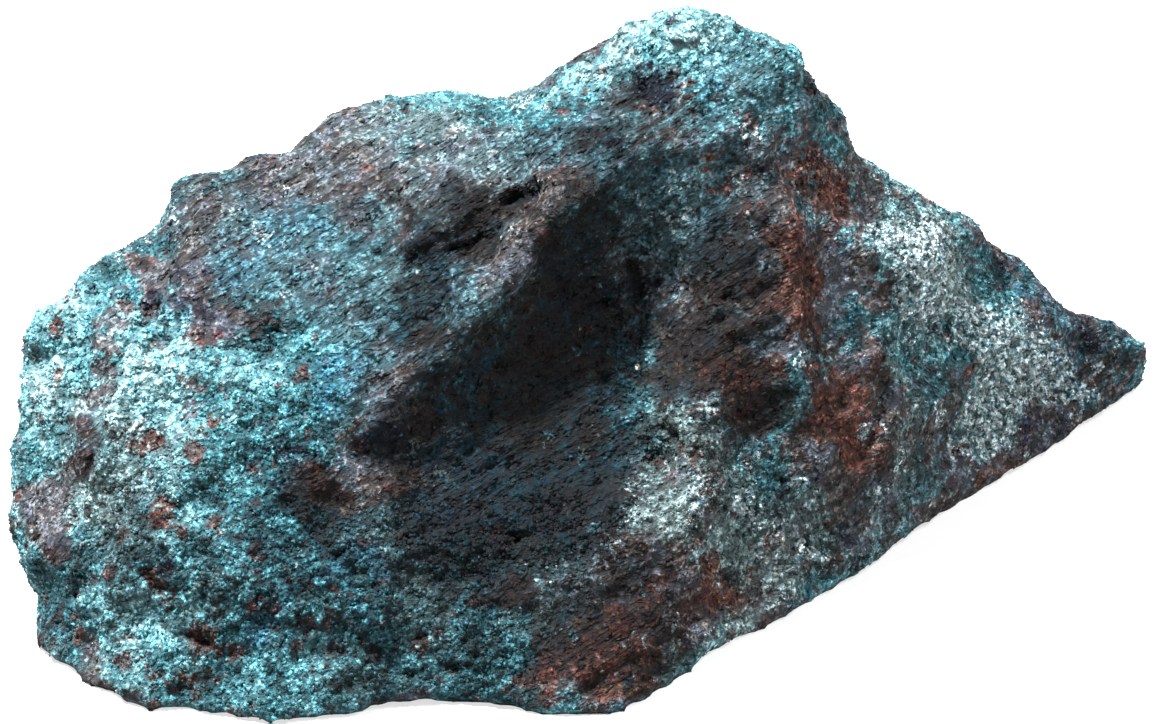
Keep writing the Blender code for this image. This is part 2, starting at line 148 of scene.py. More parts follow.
patches = {
    # turquoise crust; a negative amount bares the grey-brown rock
    "crust": [
        (60, 330, 62, 0.9), (36, 390, 46, 0.9), (110, 290, 45, 0.6), (150, 345, 58, 1.0),
        (125, 400, 50, 1.0), (90, 500, 36, 0.7), (235, 375, 60, 0.7), (310, 375, 62, 0.8),
        (250, 440, 62, 0.7), (190, 500, 60, 0.7), (140, 565, 60, 0.6), (250, 560, 70, 0.8),
        (330, 620, 80, 0.9), (420, 630, 70, 0.8), (280, 680, 66, 0.9), (180, 680, 56, 0.7),
        (470, 570, 46, 0.6), (380, 545, 46, 0.6), (460, 660, 60, 0.7), (420, 530, 40, 0.3),
        (680, 25, 52, 1.0), (745, 55, 52, 1.0), (715, 100, 46, 1.0), (640, 40, 40, 1.0),
        (600, 66, 38, 0.9), (556, 88, 34, 0.9), (515, 110, 36, 0.5), (430, 115, 40, 0.1),
        (290, 225, 44, 1.1), (240, 272, 34, 0.9), (345, 245, 26, 0.5), (700, 440, 54, 0.5),
        (650, 510, 46, 0.6), (760, 465, 40, 0.4), (745, 550, 42, 0.4), (820, 510, 44, 0.3),
        (850, 300, 90, -0.3), (880, 425, 26, 0.4), (905, 240, 40, 0.5), (960, 335, 42, 0.3),
        (1025, 335, 52, 0.1), (1085, 360, 50, 0.1), (985, 420, 54, 0.5), (920, 475, 44, 0.4),
        (445, 500, 52, 0.1), (560, 550, 46, 0.5), (700, 190, 46, 0.4), (850, 330, 34, 0.3),
        (905, 215, 26, 0.6), (1010, 280, 30, 0.3), (760, 600, 50, 0.1), (700, 600, 50, -0.4),
        (850, 470, 50, -0.3), (340, 330, 46, 0.4), (170, 620, 50, 0.5), (75, 585, 30, 1.2),
        (100, 610, 40, 1.2), (130, 650, 40, 1.0), (70, 640, 30, 0.6), (560, 640, 30, 0.1),
        (620, 180, 50, 0.6), (300, 300, 40, 0.3), (400, 300, 34, 0.3), (330, 130, 40, -0.1),
        (240, 190, 40, 0.1), (610, 120, 50, 0.2), (360, 600, 90, 0.4), (270, 540, 60, 0.4),
        (420, 560, 60, 0.4), (150, 520, 60, 0.3), (588, 202, 34, -0.6), (545, 235, 26, -0.6),
        (500, 430, 46, 0.1), (570, 480, 46, -0.1), (480, 395, 26, 0.2), (520, 440, 40, -0.2),
        (600, 300, 16, 0.5), (420, 470, 34, 0.1), (480, 500, 60, 0.3), (690, 620, 40, -0.3),
        (640, 560, 30, -0.4), (450, 420, 40, 0.2), (865, 235, 22, 0.5), (770, 110, 30, 0.5),
        (680, 240, 40, 0.2), (360, 220, 40, 0.2), (200, 205, 40, -0.6), (270, 170, 46, -0.4),
        (350, 180, 60, -0.4), (440, 170, 60, -0.5), (480, 230, 56, -0.9), (502, 272, 26, -0.7),
        (550, 186, 30, -1.1), (626, 276, 24, -0.9), (420, 345, 40, -0.4), (420, 250, 30, -0.4),
        (380, 400, 40, -0.3), (570, 300, 90, -0.7), (540, 420, 60, -0.4), (122, 318, 15, -1.6),
        (112, 345, 15, -1.8), (106, 374, 15, -2.0), (100, 404, 15, -2.0), (92, 434, 16, -2.0),
        (80, 462, 18, -2.0), (64, 490, 22, -1.9), (46, 522, 28, -1.8), (56, 556, 18, -1.2),
        (150, 272, 20, -1.2), (120, 292, 14, -1.0), (34, 500, 20, -1.0), (130, 262, 20, -0.7),
        (180, 255, 34, -0.6), (215, 330, 30, -0.5), (205, 270, 20, -0.4), (700, 330, 70, -0.8),
        (740, 260, 50, -0.6), (810, 260, 50, -0.9), (870, 390, 54, -0.9), (735, 390, 50, -0.8),
        (620, 650, 70, -0.8), (680, 600, 50, -0.5), (520, 200, 34, -0.8), (600, 500, 46, -0.1),
        (500, 590, 30, -0.6), (320, 490, 34, -0.7), (820, 440, 46, -0.5), (1080, 320, 30, -0.4),
        (450, 690, 24, 0.4), (390, 470, 30, -0.2), (480, 480, 60, 0.4), (560, 470, 60, 0.3),
        (540, 250, 50, -0.3),
    ],
    # palest, brightest crust
    "bright": [
        (60, 320, 60, 1.1), (36, 385, 40, 1.0), (150, 340, 60, 1.0), (120, 390, 50, 1.0),
        (100, 470, 40, 0.5), (90, 300, 30, 0.4), (240, 370, 50, 0.5), (180, 410, 40, 0.6),
        (50, 400, 40, 0.4), (690, 22, 46, 0.5), (600, 62, 40, 0.6), (556, 88, 34, 0.6),
        (735, 90, 40, 0.5), (940, 265, 56, 1.5), (1010, 360, 50, 0.9), (140, 630, 70, 0.7),
        (80, 500, 40, 1.2), (100, 420, 40, 1.0), (900, 300, 40, 0.6), (650, 40, 40, 0.4),
        (160, 480, 40, 0.3), (300, 610, 80, -0.1), (330, 650, 70, 0.3), (450, 560, 80, -0.3),
        (560, 545, 60, -0.3), (430, 500, 70, -0.8), (330, 520, 50, -0.4), (620, 200, 60, -0.6),
        (580, 540, 60, -0.5), (500, 490, 80, -1.1), (580, 480, 60, -0.8), (240, 680, 60, -0.2),
        (760, 210, 60, -0.5), (850, 330, 40, -0.4),
    ],
    # sky blue film
    "blue": [
        (290, 222, 50, 1.2), (240, 270, 44, 1.1), (340, 235, 34, 0.5), (200, 300, 30, 0.5),
        (325, 385, 44, 0.8), (345, 350, 30, 0.6), (735, 60, 50, 0.6), (720, 105, 40, 0.8),
        (440, 300, 36, 0.5), (620, 160, 60, 0.5), (440, 490, 50, 0.9), (260, 610, 50, 0.6),
        (340, 270, 40, 0.3), (1075, 370, 60, 0.7), (870, 235, 40, 0.8), (1030, 300, 40, 0.6),
        (80, 280, 30, 0.4), (400, 560, 40, 0.3), (780, 70, 30, 0.3),
    ],
    # iron rust
    "rust": [
        (825, 200, 50, 0.8), (800, 280, 44, 0.9), (850, 400, 60, 0.8), (720, 390, 50, 0.8),
        (600, 660, 70, 0.6), (840, 290, 30, 0.5), (760, 230, 40, 0.4), (700, 310, 50, 0.3),
        (720, 590, 50, 0.7), (780, 540, 40, 0.5), (700, 450, 40, 0.5), (740, 470, 26, 0.4),
        (870, 450, 40, 0.5), (650, 640, 50, 0.4), (540, 300, 60, 0.2), (580, 370, 50, 0.3),
        (600, 310, 36, 0.5), (520, 350, 30, 0.4), (560, 420, 34, 0.3), (640, 600, 30, 0.4),
        (740, 350, 40, 0.3), (690, 360, 30, 0.4), (870, 300, 30, 0.4), (560, 440, 60, 0.3),
        (420, 470, 50, 0.2), (600, 500, 50, 0.3), (800, 250, 36, 0.8), (850, 228, 30, 0.7),
        (815, 165, 34, 0.6), (802, 305, 28, 1.0), (885, 262, 28, 0.6), (735, 372, 26, 0.9),
        (735, 410, 30, 0.9), (780, 370, 30, 0.6), (885, 345, 36, 0.8), (835, 415, 38, 0.9),
        (860, 460, 34, 0.7), (800, 480, 30, 0.6), (590, 650, 56, 0.9), (650, 575, 40, 0.7),
        (700, 600, 42, 0.6), (640, 680, 40, 0.7), (545, 680, 40, 0.6), (660, 455, 13, 1.4),
        (965, 370, 24, 0.5), (940, 440, 24, 0.6), (86, 634, 18, 1.9), (194, 640, 22, 1.9),
        (226, 650, 15, 1.6), (150, 440, 20, 1.5), (160, 508, 20, 1.5), (128, 446, 15, 1.4),
        (270, 382, 15, 1.3), (272, 466, 16, 1.2), (328, 480, 28, 1.1), (310, 500, 20, 0.9),
        (490, 586, 28, 1.1), (502, 530, 20, 0.5), (62, 326, 11, 1.6), (150, 580, 20, 1.4),
        (50, 385, 12, 1.4), (430, 655, 14, 1.3), (400, 640, 12, 1.2), (290, 570, 16, 1.3),
        (245, 600, 13, 1.2), (110, 570, 12, 1.3), (640, 400, 20, 0.4), (760, 290, 30, 0.3),
        (260, 160, 30, 0.4), (430, 175, 30, 0.2), (1010, 300, 22, 0.5), (1060, 440, 20, 0.3),
        (1100, 345, 60, -1.2), (980, 480, 30, 0.4), (900, 520, 40, 0.5), (270, 335, 40, 0.3),
        (300, 300, 24, 0.4), (560, 400, 26, 0.3), (770, 130, 24, 0.4),
    ],
    # dark blue and near-black
    "navy": [
        (645, 84, 36, 0.9), (662, 100, 28, 0.8), (600, 130, 30, 0.7), (560, 140, 26, 0.6),
        (590, 300, 54, 0.8), (1080, 335, 40, 1.0), (1115, 355, 36, 0.9), (1000, 310, 34, 0.5),
        (1030, 420, 24, 0.5), (1045, 296, 24, 0.9), (290, 458, 24, 0.8), (455, 288, 26, 0.7),
        (425, 258, 22, 0.6), (760, 440, 18, 0.7), (780, 495, 28, 0.6), (835, 290, 26, 0.5),
        (895, 500, 32, 0.5), (440, 520, 40, 0.6), (400, 440, 34, 0.6), (505, 450, 50, 0.5),
        (650, 450, 22, 0.6), (930, 320, 20, 0.5), (960, 455, 20, 0.6), (640, 210, 44, 0.6),
        (65, 586, 12, 0.8), (300, 325, 10, 0.7), (860, 540, 40, 0.5), (720, 530, 22, 0.4),
        (180, 270, 20, 0.4), (170, 560, 20, 0.3), (390, 610, 20, 0.3), (470, 505, 56, 0.6),
        (560, 505, 50, 0.7), (430, 460, 34, 0.5),
    ],
    # pale granules
    "pale": [
        (930, 265, 70, 1.4), (1000, 350, 70, 0.9), (990, 430, 66, 0.7), (1060, 380, 50, 0.6),
        (900, 460, 50, 0.4), (700, 480, 60, 0.2), (800, 510, 60, 0.4), (935, 250, 38, 0.9),
        (910, 300, 32, 1.0), (965, 285, 28, 0.7), (1035, 370, 44, 0.6), (985, 340, 34, 0.7),
        (1000, 440, 32, 0.5), (1065, 392, 32, 0.6), (876, 420, 18, 1.0), (765, 470, 20, 0.8),
        (745, 512, 20, 0.9), (690, 445, 30, 0.1), (642, 500, 26, 0.5), (705, 500, 30, 0.5),
        (610, 545, 40, 0.5), (750, 500, 30, 0.4), (803, 350, 17, 0.9), (757, 140, 18, 0.9),
        (745, 172, 14, 0.9), (720, 565, 20, 0.6), (668, 420, 15, 0.5), (520, 105, 26, 0.5),
        (465, 130, 22, 0.4), (250, 290, 12, 0.5), (180, 350, 36, 0.4), (95, 500, 26, 0.5),
        (770, 540, 20, 0.6), (820, 560, 26, 0.4), (500, 275, 30, -0.8), (540, 205, 26, -0.6),
        (626, 276, 26, -0.9), (940, 400, 26, 0.5), (560, 560, 20, 0.4), (840, 340, 16, 0.5),
        (540, 170, 14, 0.3), (120, 330, 14, 0.7),
    ],
    # crust that has weathered to a greyer, greener tint
    "grey": [
        (700, 470, 80, 1.1), (760, 550, 60, 1.0), (640, 520, 50, 0.9), (840, 500, 60, 0.9),
        (620, 570, 60, 0.9), (940, 280, 70, 0.8), (1000, 400, 80, 0.6), (900, 450, 60, 0.8),
        (740, 600, 60, 0.9), (440, 112, 50, 0.8), (350, 115, 50, 0.8), (520, 95, 40, 0.5),
        (480, 150, 50, 0.7), (210, 210, 50, 0.4), (330, 170, 50, 0.5), (150, 350, 60, -0.6),
        (60, 330, 60, -0.4), (300, 380, 60, -0.6), (330, 620, 90, -0.3), (680, 50, 60, -0.4),
        (130, 520, 60, 0.3), (420, 560, 50, 0.2), (560, 610, 50, 0.5), (700, 400, 50, 0.6),
        (1060, 380, 50, 0.3),
    ],
    # bare layered rock with a thin silky film: few grains, fine streaks, soft changes of colour
    "film": [
        (200, 205, 50, 1.2), (250, 170, 60, 1.2), (330, 150, 70, 1.2), (420, 140, 70, 1.0),
        (480, 190, 70, 1.2), (260, 240, 60, 1.2), (330, 240, 70, 1.2), (410, 240, 70, 1.2),
        (480, 270, 60, 1.0), (400, 320, 56, 1.0), (440, 340, 56, 0.9), (310, 300, 50, 0.8),
        (230, 290, 40, 0.7), (380, 390, 40, 0.5), (520, 150, 50, 0.7), (590, 150, 60, 0.8),
        (640, 100, 50, 0.5), (620, 210, 60, 0.9), (570, 300, 80, 1.1), (560, 400, 80, 1.0),
        (480, 440, 70, 0.8), (600, 480, 60, 0.5), (700, 300, 70, 0.9), (690, 220, 50, 0.6),
        (740, 330, 50, 0.7), (800, 280, 50, 0.5), (720, 390, 50, 0.5), (840, 380, 50, 0.3),
        (160, 270, 30, 1.3), (100, 420, 22, 1.1), (122, 318, 16, 1.8), (112, 345, 16, 2.0),
        (106, 374, 16, 2.0), (100, 404, 16, 2.2), (92, 434, 17, 2.2), (80, 462, 19, 2.2),
        (64, 490, 24, 2.0), (46, 522, 30, 2.0), (620, 650, 50, 0.4), (1090, 340, 40, 0.4),
        (60, 330, 60, -0.9), (150, 350, 60, -0.9), (250, 400, 80, -1.0), (200, 500, 90, -1.0),
        (330, 580, 120, -0.9), (690, 40, 60, -0.6), (940, 270, 60, -0.9), (1000, 400, 90, -0.8),
        (700, 470, 80, -0.9), (850, 500, 80, -0.5),
    ],
    # stain and painted shade: positive darkens rock and crust, a dark stain in places and painted shade
    # over the shaded hollow under the main ridge and the shelf below it; negative leaves the rock light
    "stainAndShade": [
        (580, 240, 56, 1.1), (560, 300, 66, 1.2), (560, 370, 80, 1.0), (520, 440, 70, 0.8),
        (600, 440, 60, 0.9), (625, 350, 50, 0.9), (500, 340, 46, 1.0), (455, 395, 46, 0.9),
        (425, 440, 44, 0.8), (470, 470, 60, 1.0), (420, 490, 46, 0.8), (560, 500, 64, 0.9),
        (514, 199, 18, 1.1), (620, 210, 40, 0.5), (470, 540, 40, 0.4), (640, 480, 24, 0.5),
        (400, 210, 40, 0.3), (425, 252, 18, 0.8), (470, 215, 44, 0.8), (450, 270, 44, 0.7),
        (430, 330, 54, 0.8), (392, 330, 24, 0.5), (375, 370, 24, 0.5), (480, 240, 34, 0.3),
        (320, 178, 34, 0.3), (240, 200, 30, 0.2), (600, 140, 40, 0.4), (700, 330, 60, 0.9),
        (740, 260, 50, 0.7), (690, 250, 44, 0.6), (740, 390, 50, 0.8), (680, 390, 30, 0.6),
        (820, 420, 50, 0.5), (870, 470, 40, 0.4), (590, 560, 50, 0.4), (600, 650, 70, 0.9),
        (660, 600, 50, 0.6), (520, 560, 50, 0.4), (320, 490, 34, 0.8), (500, 590, 30, 0.7),
        (400, 600, 90, 0.3), (520, 640, 50, 0.2), (300, 560, 80, 0.3), (98, 400, 36, -1.8),
        (60, 505, 44, -1.8), (120, 320, 30, -1.2), (150, 272, 24, -0.8), (90, 620, 40, -0.4),
        (850, 210, 30, 0.2), (1085, 330, 34, 0.4), (60, 520, 40, 0.3), (370, 690, 40, 0.5),
        (640, 90, 34, 0.4), (588, 204, 34, 1.0), (548, 240, 26, 0.9), (626, 276, 26, 1.2),
        (552, 192, 22, 0.5), (440, 520, 46, 0.8), (520, 520, 56, 0.9), (600, 520, 46, 0.8),
        (470, 450, 60, 0.5), (382, 440, 34, 0.6), (430, 470, 50, 0.6), (500, 490, 50, 0.6),
        (580, 470, 50, 0.7), (450, 550, 40, 0.4), (640, 560, 34, 0.8), (290, 225, 34, 0.4),
        (530, 460, 70, 0.6), (720, 240, 50, 0.3), (740, 440, 40, 0.4), (700, 500, 90, 0.2),
        (760, 560, 50, 0.2), (310, 560, 110, 0.3), (300, 650, 110, 0.05), (440, 600, 100, 0.3),
        (480, 490, 70, 0.8), (570, 480, 66, 0.8), (520, 410, 60, 0.4), (480, 210, 60, 0.4),
        (560, 330, 80, 0.4), (400, 145, 60, -0.3), (300, 150, 50, -0.3), (150, 345, 60, -0.4),
        (935, 270, 64, -1.0), (1000, 350, 60, -0.6), (60, 330, 60, -0.3), (1000, 430, 50, -0.4),
        (690, 430, 34, 0.3), (760, 480, 40, -0.3), (653, 350, 10, -0.6), (652, 400, 10, -0.6),
        (690, 30, 50, -0.3), (250, 380, 60, -0.2),
    ],
}

# base level on the hidden sides, and the noise that breaks the patches up
fieldNoise = {
    "crust": {"base": 0.12, "size": 15.0, "height": 0.9, "fine": 0.6, "seed": 1},
    "bright": {"base": 0.0, "size": 12.0, "height": 0.55, "fine": 0.5, "seed": 2},
    "blue": {"base": -0.25, "size": 13.0, "height": 0.8, "fine": 0.5, "seed": 3},
    "rust": {"base": -0.66, "size": 11.0, "height": 0.95, "fine": 0.85, "seed": 4},
    "navy": {"base": -0.5, "size": 9.0, "height": 0.9, "fine": 0.8, "seed": 5},
    "pale": {"base": -0.75, "size": 8.0, "height": 0.8, "fine": 0.9, "seed": 6},
    "grey": {"base": 0.05, "size": 14.0, "height": 0.7, "fine": 0.4, "seed": 9},
    "film": {"base": -0.1, "size": 17.0, "height": 1.1, "fine": 0.2, "seed": 8},
    # the next entry is the field of stain and painted shade
    "stainAndShade": {"base": 0.0, "size": 13.0, "height": 0.7, "fine": 0.5, "seed": 7},
}
# how far a patch's edge strays, where it fades (in radii), and how it weighs against the noise
patchEdge = {
    "wander": 1.7, "wanderSize": 5.0, "fray": 0.55, "fraySize": 1.5, "whole": 0.1, "gone": 1.35,
    "fineSize": 2.1, "fineSeed": 20, "calmed": 0.35, "weight": 1.15, "seed": 3,
}
noise.seed_set(patchEdge["seed"])   # without it noise_vector changes from run to run


# the points moved about by noise, which makes the edges of the patches uneven
def wander(points):
    far = np.array([noise.noise_vector(Vector(p)) for p in points / patchEdge["wanderSize"]])
    shifted = points / patchEdge["fraySize"] + seedStep["fray"]
    near = np.array([noise.noise_vector(Vector(p)) for p in shifted])
    return points + far * patchEdge["wander"] + near * patchEdge["fray"]


def mineralFields(points, tree):
    moved = wander(points)
    fields = {}
    for kind, settings in fieldNoise.items():
        broad = settings["base"] + settings["height"] * cloud(points, settings["size"], settings["seed"])
        fineSeed = settings["seed"] + patchEdge["fineSeed"]
        fine = settings["fine"] * cloud(points, patchEdge["fineSize"], fineSeed, octaves=2)
        covered = np.zeros(len(points))
        painted = np.zeros(len(points))
        for x, y, radius, amount in patches[kind]:
            spot = spotOnStone(tree, x, y)
            if spot is None:
                continue
            reach = radius * view["pixel"] / mm
            distance = np.linalg.norm(moved - np.array(spot) / mm, axis=1) / reach
            share = 1 - eased(distance, patchEdge["whole"], patchEdge["gone"])
            painted += amount * share
            covered = np.maximum(covered, share)
        broad *= 1 - patchEdge["calmed"] * covered
        fields[kind] = np.tanh(broad + fine + patchEdge["weight"] * painted)
    return fields


print("scene: camera")
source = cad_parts["stone"]
stone = fineStone(source)
points, normals = vertexArrays(stone.data)
setUpCamera(points)
print("scene: fine stone with", len(stone.data.vertices), "points,", len(stone.data.polygons), "faces")

tree = BVHTree.FromObject(stone, bpy.context.evaluated_depsgraph_get())
fields = mineralFields(points / mm, tree)
print("scene: minerals laid out")

# relief

# heights, depths and sizes are in mm; onRock and the like are how much of a layer shows there
relief = {
    "hackles": {"height": 0.26, "size": 5.2, "level": 0.5, "slope": 1.9, "seed": 11},   # sharp crests
    "fractures": {"height": 0.20, "size": 2.4, "level": 0.4, "slope": 1.9, "seed": 12, "onCrust": 0.5},
    # layers of the rock that crop out, and the length, width and depth of one streak
    "streaks": {"height": 0.30, "grain": (9.0, 1.15, 1.6), "seed": 13,
                "onCrust": 0.3, "moreOnRock": 0.35, "moreOnFilm": 0.45},
    # knobs of the crust; rim is the width of the groove between them
    "granules": {"height": 0.16, "size": 1.5, "seed": 14, "rim": 0.45, "level": 0.5, "dome": 1.0,
                 "onRock": 0.15, "evenedByBlue": 0.6},
    "smallGranules": {"height": 0.20, "size": 0.95, "seed": 15, "rim": 0.5, "level": 0.4, "dome": 0.8,
                      "onRock": 0.35},
    "paleGranules": {"height": 0.42, "size": 1.0, "seed": 16, "level": 0.6, "dome": 1.6},
    "rustGrain": {"height": 0.12, "size": 0.9, "seed": 19},
    "pits": {"depth": 0.65, "size": 3.6, "seed": 17, "floor": 0.08, "edge": 0.30, "strayed": 0.6,
             "patchSize": 1.1, "patchSeed": 18, "patchEdge": (0.1, 0.35)},
    "sole": {"height": 0.35, "size": 6.0, "seed": 25, "below": 0.25, "facing": -0.6},
    "fineSole": {"height": 0.2, "size": 1.6, "seed": 26},
    "foot": {"height": 1.3, "inset": 0.7, "reliefFrom": 1.6},   # it is drawn in under the stone
    "filmHides": 0.9,
}
# the field between these two levels passes from none of the mineral to its full cover
coverEdge = {
    "crust": (0.15, 0.5), "pale": (0.2, 0.6), "rust": (0.3, 0.7), "film": (0.0, 0.7), "blue": (0.5, 1.0),
}
streakAlong = Vector((-0.82, -0.54, -0.20)).normalized()
streakOver = Vector((-0.06, -0.27, 0.96)).cross(streakAlong).normalized()
streakUp = streakAlong.cross(streakOver)

# how far the lines of cracks and crests stray with the patches' edges, where a crack's sides run
# (half widths), and the depth (mm) of a crack that gets as much painted shade as a pit
lineEdge = {"crackStrays": 0.5, "crestStrays": 0.35, "crackSides": (0.2, 1.3), "fullPit": 0.8}

# cracks and sharp steps: half width and depth (mm), and points along the line (pixels)
grooves = {
    "leftCrease": (0.8, 0.65, [(168, 262), (150, 310), (112, 372), (100, 440), (84, 500), (70, 560)]),
    "leftLobeSplit": (0.6, 0.4, [(104, 268), (100, 310), (88, 345), (62, 395), (66, 430)]),
    "browLine": (0.5, 0.25, [(206, 225), (200, 262), (212, 320), (186, 372), (150, 400)]),
    "flankCrack": (0.30, 0.5, [(694, 304), (706, 276), (722, 262), (730, 244)]),
    "ridgeNotch": (0.6, 0.5, [(500, 204), (514, 195), (532, 191)]),
    "ridgeLip": (0.5, 0.6, [(446, 252), (466, 250), (480, 238)]),
    "stepLine": (0.7, 0.3, [(398, 262), (386, 300), (376, 340), (366, 372)]),
    "seamEdge": (0.6, 0.1, [(660, 215), (655, 270), (646, 330), (644, 400), (630, 455)]),
    "ribCrack": (0.5, 0.15, [(806, 190), (826, 226), (850, 256), (878, 280)]),
    "blockCrack": (0.7, 0.6, [(905, 262), (912, 300), (884, 350), (878, 410), (864, 455)]),
    "rustPocket": (1.1, 0.5, [(656, 452), (662, 458)]),
    "footPit": (0.8, 0.2, [(80, 632), (92, 638)]),
    "greenPit": (0.8, 0.8, [(64, 582), (68, 592)]),
    "leftPit": (1.0, 0.6, [(188, 638), (200, 642)]),
    "lobePit": (1.0, 0.5, [(40, 358), (44, 366)]),
    "frontPit": (0.9, 0.6, [(146, 576), (156, 586)]),
}


# for each stretch of a line of pixels, how far the points lie from it on the stone
def distancesAlong(line, points, tree):
    spots = [spotOnStone(tree, x, y) for x, y in line]
    spots = [np.array(spot) / mm for spot in spots if spot is not None]
    for start, end in zip(spots, spots[1:]):
        run = end - start
        share = np.clip((points - start) @ run / max(run @ run, 1e-9), 0, 1)
        yield np.linalg.norm(points - start - share[:, None] * run, axis=1)


# how deep the listed cracks and pits go at each point, in millimetres
def grooveDepth(points, tree):
    depth = np.zeros(len(points))
    moved = points + lineEdge["crackStrays"] * (wander(points) - points)
    for width, deep, line in grooves.values():
        for away in distancesAlong(line, moved, tree):
            depth = np.maximum(depth, deep * (1 - eased(away / width, *lineEdge["crackSides"])))
    return depth


# sharp breaks between the faces, raised to a crest: half width and height (mm), and points (pixels)
crests = {
    "mainRidge": (2.2, 1.0, [(600, 178), (560, 205), (534, 240), (514, 274), (482, 306),
                             (436, 356), (400, 392), (378, 424)]),
    "upperRidge": (2.0, 0.5, [(786, 56), (756, 96), (738, 126), (690, 146), (645, 156), (600, 178)]),
    "stepEdge": (1.6, 0.5, [(496, 170), (462, 200), (430, 232), (398, 270), (372, 330), (352, 392)]),
    "ridgeLipCrest": (0.8, 0.6, [(500, 190), (520, 180), (536, 178)]),
    "crescent": (0.6, 0.45, [(432, 252), (448, 243), (470, 238)]),
    "leftRib": (1.1, 0.75, [(172, 278), (142, 340), (122, 400), (104, 460), (84, 520), (66, 580)]),
    "lobeRib": (1.0, 0.65, [(132, 260), (112, 320), (92, 380), (82, 440)]),
    "bluffEdge": (1.2, 0.5, [(206, 182), (178, 196), (168, 236)]),
    "seamRib": (1.0, 0.5, [(664, 200), (660, 270), (650, 330), (648, 400)]),
    "rustyRib": (1.6, 0.6, [(766, 150), (790, 220), (798, 300), (792, 350)]),
    "troughLine": (0.9, 0.5, [(818, 176), (850, 236), (905, 270)]),
}

# low swellings (pixels, then height in mm); a negative height is a shallow hollow
swells = [
    (448, 246, 34, 1.5), (486, 212, 24, 0.7), (84, 630, 30, 0.8), (56, 330, 34, 0.5),
    (38, 400, 30, 0.4), (150, 345, 36, 0.5), (930, 262, 50, 0.6), (985, 350, 40, 0.4),
    (300, 225, 40, 0.3), (420, 190, 40, 0.4), (350, 260, 30, -0.3), (240, 300, 34, -0.3),
    (330, 490, 30, -0.5), (690, 450, 34, 0.4), (760, 470, 30, 0.4), (230, 440, 40, 0.3),
    (160, 560, 36, 0.3), (270, 540, 30, -0.3), (380, 620, 40, 0.3), (870, 330, 24, -0.4),
    (640, 620, 40, 0.4), (862, 262, 26, 0.8), (672, 22, 40, 0.6), (430, 110, 50, -0.6),
    (590, 70, 30, -0.3), (168, 244, 26, -0.9), (60, 306, 30, 0.5), (34, 340, 24, 0.6),
    (46, 590, 46, -0.8), (1003, 272, 26, -0.7), (955, 228, 24, -0.4), (1105, 338, 50, 0.8),
    (668, 656, 40, -0.5),
]
swellEnd = 1.2   # where a swelling ends, in its radii


def swellHeight(points, tree):
    height = np.zeros(len(points))
    for x, y, radius, amount in swells:
        spot = spotOnStone(tree, x, y)
        if spot is not None:
            away = np.linalg.norm(points - np.array(spot) / mm, axis=1) / (radius * view["pixel"] / mm)
            height += amount * (1 - eased(away, 0.0, swellEnd))
    return height


def crestHeight(points, tree):
    height = np.zeros(len(points))
    moved = points + lineEdge["crestStrays"] * (wander(points) - points)
    for width, high, line in crests.values():
        for away in distancesAlong(line, moved, tree):
            height = np.maximum(height, high * np.clip(1 - away / width, 0, 1))
    return height


# how much of a mineral lies at each point, 0 to 1
def coverOf(kind):
    return eased(fields[kind], *coverEdge[kind])


# facets that meet in sharp crests, where the noise crosses nought
def facets(points, layer):
    folded = np.abs(cloud(points, layer["size"], layer["seed"], octaves=2))
    return layer["level"] - layer["slope"] * folded


# rounded knobs with a groove between them
def knobs(points, layer):
    near, nextNear = cells(points, layer["size"], layer["seed"])
    return eased(nextNear - near, 0.0, layer["rim"]) - layer["level"] - layer["dome"] * near


# stretched along the layers of the rock
def layerStreaks(points, layer):
    axes = zip((streakAlong, streakOver, streakUp), layer["grain"])
    grain = [np.array(axis) / size for axis, size in axes]
    return cloud(points, 1, layer["seed"], octaves=3, stretch=np.column_stack(grain))


# pits in some patches only
def scatteredPits(points, layer):
    strayed = points + layer["strayed"] * (wander(points) - points)
    near, _ = cells(strayed, layer["size"], layer["seed"])
    patch = cloud(points, layer["size"] * layer["patchSize"], layer["patchSeed"], octaves=1)
    return (1 - eased(near, layer["floor"], layer["edge"])) * eased(patch, *layer["patchEdge"])


# from low where the share is 0 to 1 where it is 1
def risingTo1(low, share):
    return low + (1 - low) * share


# the height that each point is moved along its normal, and how deep it lies in a pit
def raiseRelief(points, tree):
    pale = coverOf("pale")
    film = coverOf("film")
    crust = coverOf("crust") * (1 - relief["filmHides"] * film)
    granular = np.maximum(crust, pale)
    rock = 1 - granular
    layer = relief["fractures"]
    height = relief["hackles"]["height"] * facets(points, relief["hackles"])
    height += layer["height"] * facets(points, layer) * risingTo1(layer["onCrust"], rock)
    layer = relief["streaks"]
    shown = layer["onCrust"] + layer["moreOnRock"] * rock + layer["moreOnFilm"] * film
    height += layer["height"] * layerStreaks(points, layer) * shown
    layer = relief["granules"]
    evened = 1 - layer["evenedByBlue"] * coverOf("blue")
    height += layer["height"] * knobs(points, layer) * risingTo1(layer["onRock"], crust) * evened
    layer = relief["smallGranules"]
    height += layer["height"] * knobs(points, layer) * risingTo1(layer["onRock"], granular)
    layer = relief["paleGranules"]
    near, _ = cells(points, layer["size"], layer["seed"])
    height += layer["height"] * (layer["level"] - layer["dome"] * near) * pale
    layer = relief["rustGrain"]
    height += layer["height"] * coverOf("rust") * cloud(points, layer["size"], layer["seed"], octaves=2)
    height += crestHeight(points, tree) + swellHeight(points, tree)
    pits = scatteredPits(points, relief["pits"])
    cracks = grooveDepth(points, tree)
    height -= relief["pits"]["depth"] * pits + cracks
    return height, np.clip(pits + cracks / lineEdge["fullPit"], 0, 1)


